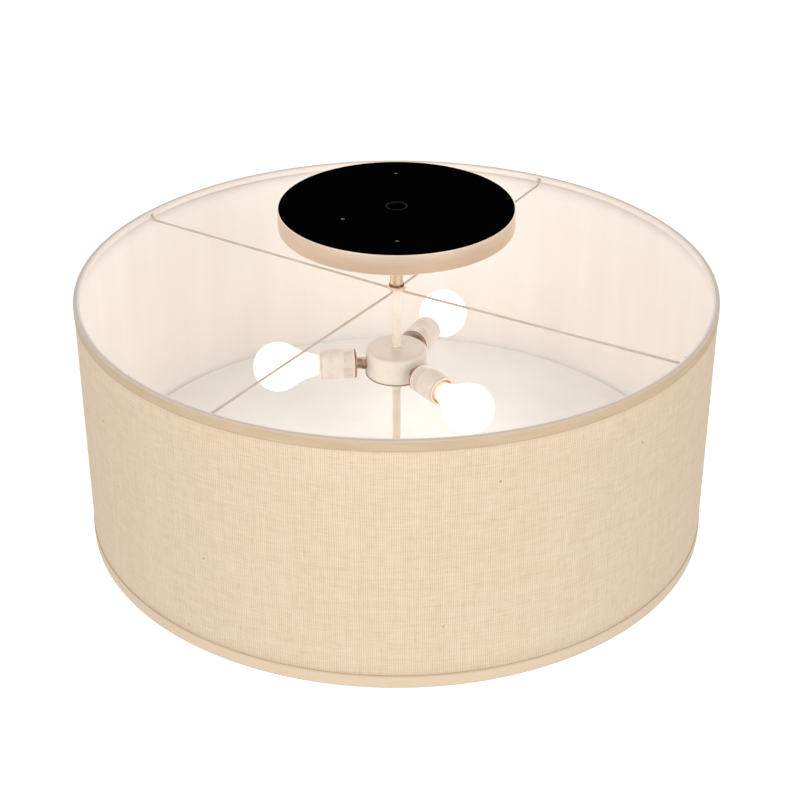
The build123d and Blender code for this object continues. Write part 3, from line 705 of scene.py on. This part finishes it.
def tape_skin(edge, inwards, leg):
    """The tape's outer leg and its rounded fold over the rim, all the way round."""
    thick = 0.45
    inner_leg = edge + inwards * 2.4
    points = [(RIM_OUTSIDE, edge + inwards * leg), (RIM_OUTSIDE, edge), (RIM_INSIDE, edge),
              (RIM_INSIDE, inner_leg), (RIM_INSIDE + thick, inner_leg),
              (RIM_INSIDE + thick, edge + inwards * thick), (RIM_OUTSIDE - thick, edge + inwards * thick),
              (RIM_OUTSIDE - thick, edge + inwards * leg)]
    return turned(points, {1: 2.2, 2: 2.2, 5: 1.8, 6: 1.8}, 384)


def tape_flap(edge, inwards, start, end):
    """The tape's inner leg between two azimuths, open where an arm comes up."""
    root, tip = edge + inwards * 2.3, edge + inwards * 7
    back = RIM_INSIDE + 0.45
    mesh = outline([(RIM_INSIDE, root), (RIM_INSIDE, tip), (back, tip), (back, root)])
    bmesh.ops.rotate(mesh, cent=(0, 0, 0), matrix=Matrix.Rotation(radians(start), 3, "Z"), verts=mesh.verts)
    bmesh.ops.spin(mesh, geom=mesh.verts[:] + mesh.edges[:], cent=(0, 0, 0), axis=(0, 0, 1),
                   angle=radians(end - start), steps=max(8, int(end - start)))
    return cap_ends(mesh)


def bearing_of(point):
    """How far round from the seam a point lies, as an angle."""
    seam = Vector((cos(radians(SEAM_AZIMUTH)), sin(radians(SEAM_AZIMUTH))))
    return -seam.angle_signed(point.xy) % (2 * pi)


def tape(edge, inwards, leg, flaps):
    """Folded tape with its own map: U runs round the rim, V across the tape from its outer edge."""
    mesh = together(tape_skin(edge, inwards, leg), *[tape_flap(edge, inwards, *span) for span in flaps])
    layer = mesh.loops.layers.uv.new("wrap")
    for face in mesh.faces:
        middle = bearing_of(face.calc_center_median())
        for corner in face.loops:
            run = bearing_of(corner.vert.co)
            if run - middle > pi:
                run -= 2 * pi
            elif middle - run > pi:
                run += 2 * pi
            depth = RIM_OUTSIDE - corner.vert.co.xy.length
            drop = abs(corner.vert.co.z - edge)
            across = leg - drop + depth if depth < 4 else leg + depth + drop
            corner[layer].uv = (run * RIM_OUTSIDE * MM, across * MM)
    return mesh


def slits():
    """The spans of the inner leg between the slits at the four arms."""
    half = 0.42
    bearings = [azimuth for azimuth, height in ARMS]
    starts = [bearing + half for bearing in bearings]
    ends = [bearing - half for bearing in bearings[1:]] + [bearings[0] - half + 360]
    return list(zip(starts, ends))


linen_wall = piece("linen_wall", rolled_sheet(380.45, SEAM_LAP, 0.4), "linen", "shade_fabric")
film_wall = piece("film_wall", rolled_sheet(379.6, 0, 0), "shade_film", "shade_liner")
for skin, thickness in ((linen_wall, 0.4), (film_wall, 0.8)):
    wall = skin.modifiers.new("thickness", "SOLIDIFY")
    wall.thickness = thickness * MM
    wall.offset = -1
top_tape = piece("top_tape", tape(SHADE_TOP, -1, 12.5, slits()), "trim_tape", "top_trim")
bottom_tape = piece("bottom_tape", tape(SHADE_BOTTOM, 1, 17.5, [(0, 180), (180, 360)]), "trim_tape",
                    "bottom_trim")
piece("top_edge_wire", wire_hoop(EDGE_WIRE_HOOP, 2.5, -97), "spider_wire", "shade_top_ring")
piece("bottom_edge_wire", wire_hoop(EDGE_WIRE_HOOP, 2.5, -403.8), "spider_wire", "shade_bottom_ring")


# ---------------------------------------------------------------- cluster

def cluster_can():
    """The drawn can: rounded shoulder, straight side and open lower end."""
    outside, inside, shoulder, foot = 37.5, 36.3, -185.7, -218.6
    points = [(WASHER_BORE, shoulder), (outside, shoulder), (outside, foot), (inside, foot), (inside, -186.9),
              (WASHER_BORE, -186.9)]
    return turned(points, {1: 6, 2: 0.3, 3: 0.3, 4: 4.8}, 96)


piece("cluster_can", cluster_can(), "cluster_paint", "cluster_body")
piece("cluster_lid", ring(WASHER_BORE, 38.3, CLUSTER_FOOT, -218.6, 0.35, 96), "lid_edge", "cluster_cover")
piece("top_coupling", ring(NUT_BORE, 6.1, -184.7, -172.2, 0.4), "cream_paint", "upper_coupling")
piece("coupling_disc", ring(WASHER_BORE, 8.5, -185.7, -184.7, 0.25), "cream_paint", "coupling_washer")
piece("low_coupling", ring(NUT_BORE, 6.6, -241.5, CLUSTER_FOOT, 0.5), "white_nylon", "lower_coupling")


# ---------------------------------------------------------------- sockets

def barrel():
    """The socket's barrel: rounded shoulder, eased mouth and a flat floor."""
    points = [(0, 60), (13.95, 60), (13.95, 92.8), (15.2, 94.5), (SOCKET_RADIUS, 94.5), (SOCKET_RADIUS, 54.1),
              (14, 54.1), (14, 51.9), (NUT_BORE, 51.9), (NUT_BORE, 57), (0, 57)]
    return turned(points, {3: 0.3, 4: 1.0, 5: 0.5}, 72, closed=False)


def paper_wrap():
    """A band of paper round the barrel, its end lapped over its start."""
    band = ring(17.8, 17.95, 65.5, 91.5, 0.05, 72)
    lap = outline([(17.95, 65.5), (18.02, 65.5), (18.02, 91.5), (17.95, 91.5)])
    bmesh.ops.rotate(lap, cent=(0, 0, 0), matrix=Matrix.Rotation(2.4, 3, "Z"), verts=lap.verts)
    bmesh.ops.spin(lap, geom=lap.verts[:] + lap.edges[:], cent=(0, 0, 0), axis=(0, 0, 1), angle=0.3, steps=6)
    return together(band, cap_ends(lap))


def screw_shell():
    """The brass shell: a floor with a hole, a rolled thread and a turned-out lip at the mouth."""
    wall = thread(13.35, 13.72, SCREW_PITCH, 61, 92.5, steps=32, waves=True)
    bmesh.ops.recalc_face_normals(wall, faces=wall.faces)
    bmesh.ops.solidify(wall, geom=wall.faces[:], thickness=0.12)
    lip = turned([(13.3, 92.4), (13.6, 92.4), (13.8, 92.9), (15.0, 94.45), (14.7, 94.6), (13.3, 93.1)],
                 {2: 0.1, 3: 0.1, 4: 0.1}, 72)
    return together(close_up(wall), ring(7.5, 13.8, 60, 60.5, 0.1), lip)


piece("paper_wraps", on_every_socket(paper_wrap), "blank_paper", "paper_bands")
piece("fibre_discs", on_every_socket(lambda: ring(NUT_BORE, SOCKET_RADIUS, 50.6, 51.9, 0.3)), "red_fibre",
      "fibre_washers")
piece("backing_discs", on_every_socket(lambda: ring(NUT_BORE, 17.2, 49.5, 50.6, 0.3)), "zinc_steel",
      "fibre_washers")
piece("barrel_feet", on_every_socket(lambda: ring(14, SOCKET_RADIUS, 51.9, 54.1, 0.7)), "glazed_foot",
      "socket_body_1", "socket_body_2", "socket_body_3")
piece("socket_hexagons", on_every_socket(lambda: hexagon(13, 37.7, 42.9)), "dark_steel", "socket_hex_nuts")
piece("socket_ferrules", on_every_socket(lambda: stud(6.45, 6.95, 1.27, 42.95, 49.35)), "zinc_steel",
      "socket_bushings")


# ---------------------------------------------------------------- bulbs

def bulb_envelope():
    """A household bulb's glass: straight neck, hollow flare and round globe, closed at the neck's end."""
    mesh = bmesh.new()
    middle = mesh.verts.new((0, 0, 84))
    end = line(mesh, middle, (12.3, 84))
    end = line(mesh, end, (12.5, 84.3))
    end = line(mesh, end, (12.5, 89))
    end = arc(mesh, end, (79.257, 89), 35.002, 12)
    tip = arc(mesh, end, (0, GLOBE_CENTRE), -124.998, 36)
    tip.co.x = 0
    return lathe(mesh, 72)


def screw_cap():
    """The bulb's metal cap: tapered foot, rolled thread and a plain collar crimped on the glass."""
    foot = turned([(9.8, 66), (12.4, 68.9), (12.4, 70), (9.8, 70)], {1: 0.5})
    grip = stud(12.3, 12.95, SCREW_PITCH, 69.4, 87.4, waves=True)
    collar = turned([(12.5, 87), (12.9, 87.4), (12.95, 90.6), (12.55, 91)], {2: 0.15}, 64)
    return together(foot, grip, collar)


def screw_base():
    """The bulb's foot: a soldered contact button on a black glass insulator."""
    points = [(0, 62.4), (4.5, 62.4), (4.5, 63.6), (9.4, 66), (9.4, 67.6), (0, 67.6)]
    return turned(points, {1: 0.5, 3: 0.4}, 48, closed=False)


for number, azimuth in enumerate(SOCKET_AZIMUTHS, start=1):
    place = along_socket(azimuth)
    piece(f"socket_barrel_{number}", moved(barrel(), place), "porcelain", f"socket_body_{number}")
    piece(f"brass_shell_{number}", moved(screw_shell(), place), "brass", f"screw_shell_{number}")
    envelope = piece(f"bulb_envelope_{number}", moved(bulb_envelope(), place), "frosted_glass",
                     f"bulb_glass_{number}", body=f"bulb_{number}", smooth=60)
    envelope.visible_shadow = False
    piece(f"bulb_screw_{number}", moved(screw_cap(), place), "bulb_cap_metal", f"bulb_cap_{number}",
          body=f"bulb_{number}", smooth=50)
    piece(f"bulb_foot_{number}", moved(screw_base(), place), "bulb_contact", f"bulb_base_{number}",
          body=f"bulb_{number}_carrier")


# ---------------------------------------------------------------- diffuser and finial

def low_pipe():
    """The pipe under the cluster, threaded at its lower end."""
    return together(ring(3.5, PIPE_RADIUS, -347, -232.75, 0.3), stud(4.6, PIPE_RADIUS, 0.9407, -375, -346.8))


def knob():
    """The finial: a thin flange, a hollow neck and a ball."""
    mesh = bmesh.new()
    tip = mesh.verts.new((0, 0, -390.6))
    end = arc(mesh, tip, (0, -380.1), -138, 20)
    for place in ((6.8, -371.2), (6.8, -369.2), (7.4, -368.3), (8.7, -368.1), (9, -367.7), (9, -365.5),
                  (8.6, -365.1), (0, -365.1)):
        end = line(mesh, end, place)
    return lathe(mesh, 72)


piece("low_pipe", low_pipe(), "beige_paint", "lower_pipe")
piece("rubber_disc", ring(WASHER_BORE, 14, -360.4, -359.4, 0.25), "grey_gasket", "diffuser_gasket")
piece("opal_disc", ring(5.5, 365, -363.5, -360.5, 0.9, 256), "opal_acrylic", "diffuser",
      body="diffuser_carrier")
piece("opal_washer", ring(5.5, 22, -365, -363.5, 0.5, 96), "satin_nickel", "diffuser_washer",
      body="diffuser_carrier")
piece("finial_turned", knob(), "satin_nickel", "finial", body="finial_knob")


# ---------------------------------------------------------------- CAD pieces that keep their own shape

for node, made in frame["nodes"].items():
    made.data.materials.clear()
    made.data.materials.append(FINISHES[slot_of[node]])


# ---------------------------------------------------------------- room, light and camera

def seen_directly(tree):
    """1 for rays from the camera, a reflection or glass, 0 for rays that carry light."""
    path = tree.nodes.new("ShaderNodeLightPath")
    total = path.outputs["Is Camera Ray"]
    for ray in ("Is Glossy Ray", "Is Transmission Ray"):
        larger = tree.nodes.new("ShaderNodeMath")
        larger.operation = "MAXIMUM"
        tree.links.new(total, larger.inputs[0])
        tree.links.new(path.outputs[ray], larger.inputs[1])
        total = larger.outputs[0]
    return total


def room():
    """A wide pale floor as far below the ceiling as a room's is, lifted to white where it is seen."""
    floor_height = -2.74
    bpy.ops.mesh.primitive_plane_add(size=80, location=(0, 0, floor_height))
    floor = bpy.context.object
    floor.name = "floor"
    material = bpy.data.materials.new("pale_floor")
    material.use_nodes = True
    tree = material.node_tree
    shader = tree.nodes["Principled BSDF"]
    shader.inputs["Base Color"].default_value = (0.86, 0.86, 0.86, 1)
    shader.inputs["Roughness"].default_value = 1.0
    shader.inputs["Specular IOR Level"].default_value = 0.0
    glow = tree.nodes.new("ShaderNodeEmission")
    lift = tree.nodes.new("ShaderNodeMath")
    lift.operation = "MULTIPLY"
    lift.inputs[1].default_value = 0.55
    both = tree.nodes.new("ShaderNodeAddShader")
    tree.links.new(seen_directly(tree), lift.inputs[0])
    tree.links.new(lift.outputs[0], glow.inputs["Strength"])
    tree.links.new(shader.outputs[0], both.inputs[0])
    tree.links.new(glow.outputs[0], both.inputs[1])
    tree.links.new(both.outputs[0], tree.nodes["Material Output"].inputs["Surface"])
    floor.data.materials.append(material)


def surroundings():
    """Soft white light from all round, and plain white where the camera or a reflection looks."""
    world = bpy.data.worlds.new("studio")
    bpy.context.scene.world = world
    world.use_nodes = True
    tree = world.node_tree
    light = tree.nodes["Background"]
    light.inputs["Color"].default_value = (1.0, 0.985, 0.965, 1)
    light.inputs["Strength"].default_value = 0.6
    white = tree.nodes.new("ShaderNodeBackground")
    white.inputs["Color"].default_value = (1, 1, 1, 1)
    white.inputs["Strength"].default_value = 1.0
    mix = tree.nodes.new("ShaderNodeMixShader")
    tree.links.new(seen_directly(tree), mix.inputs[0])
    tree.links.new(light.outputs[0], mix.inputs[1])
    tree.links.new(white.outputs[0], mix.inputs[2])
    tree.links.new(mix.outputs[0], tree.nodes["World Output"].inputs["Surface"])


def softbox(name, place, power):
    """A wide soft studio lamp turned towards the light's middle."""
    lamp = bpy.data.lights.new(name, "AREA")
    lamp.size = 2.2
    lamp.energy = power
    holder = bpy.data.objects.new(name, lamp)
    holder.location = place
    holder.rotation_euler = (Vector((0, 0, -0.2)) - Vector(place)).to_track_quat("-Z", "Y").to_euler()
    bpy.context.scene.collection.objects.link(holder)


def filament(number, azimuth):
    """The lamp inside a bulb's globe; the frosted envelope casts no shadow, so its light gets out."""
    lamp = bpy.data.lights.new(f"filament_{number}", "POINT")
    lamp.energy = 0.27
    lamp.color = (1.0, 0.965, 0.95)
    lamp.shadow_soft_size = 0.024
    holder = bpy.data.objects.new(f"filament_{number}", lamp)
    holder.location = along_socket(azimuth) @ Vector((0, 0, GLOBE_CENTRE)) * MM
    bpy.context.scene.collection.objects.link(holder)


def portrait_camera():
    """The photograph's view: from in front and above, through a long lens."""
    lens = bpy.data.cameras.new("portrait")
    lens.lens = 79.5
    lens.sensor_width = 36
    camera = bpy.data.objects.new("portrait", lens)
    camera.location = (-0.0162, -1.9066, 0.81)
    look = Vector((0.009358, 0.872053, -0.489322))
    roll = Matrix.Rotation(0.00122, 3, "Z")
    camera.rotation_euler = (look.to_track_quat("-Z", "Y").to_matrix() @ roll).to_euler()
    bpy.context.scene.collection.objects.link(camera)
    bpy.context.scene.camera = camera


room()
surroundings()
softbox("left_light", (-2.0, -2.95, 1.1), 39)
softbox("right_light", (2.0, -2.95, 1.1), 39)
softbox("back_light", (0, 3.0, 1.5), 17)
for number, azimuth in enumerate(SOCKET_AZIMUTHS, start=1):
    filament(number, azimuth)
portrait_camera()
bpy.context.scene.view_settings.view_transform = "Standard"

bpy.context.view_layer.update()
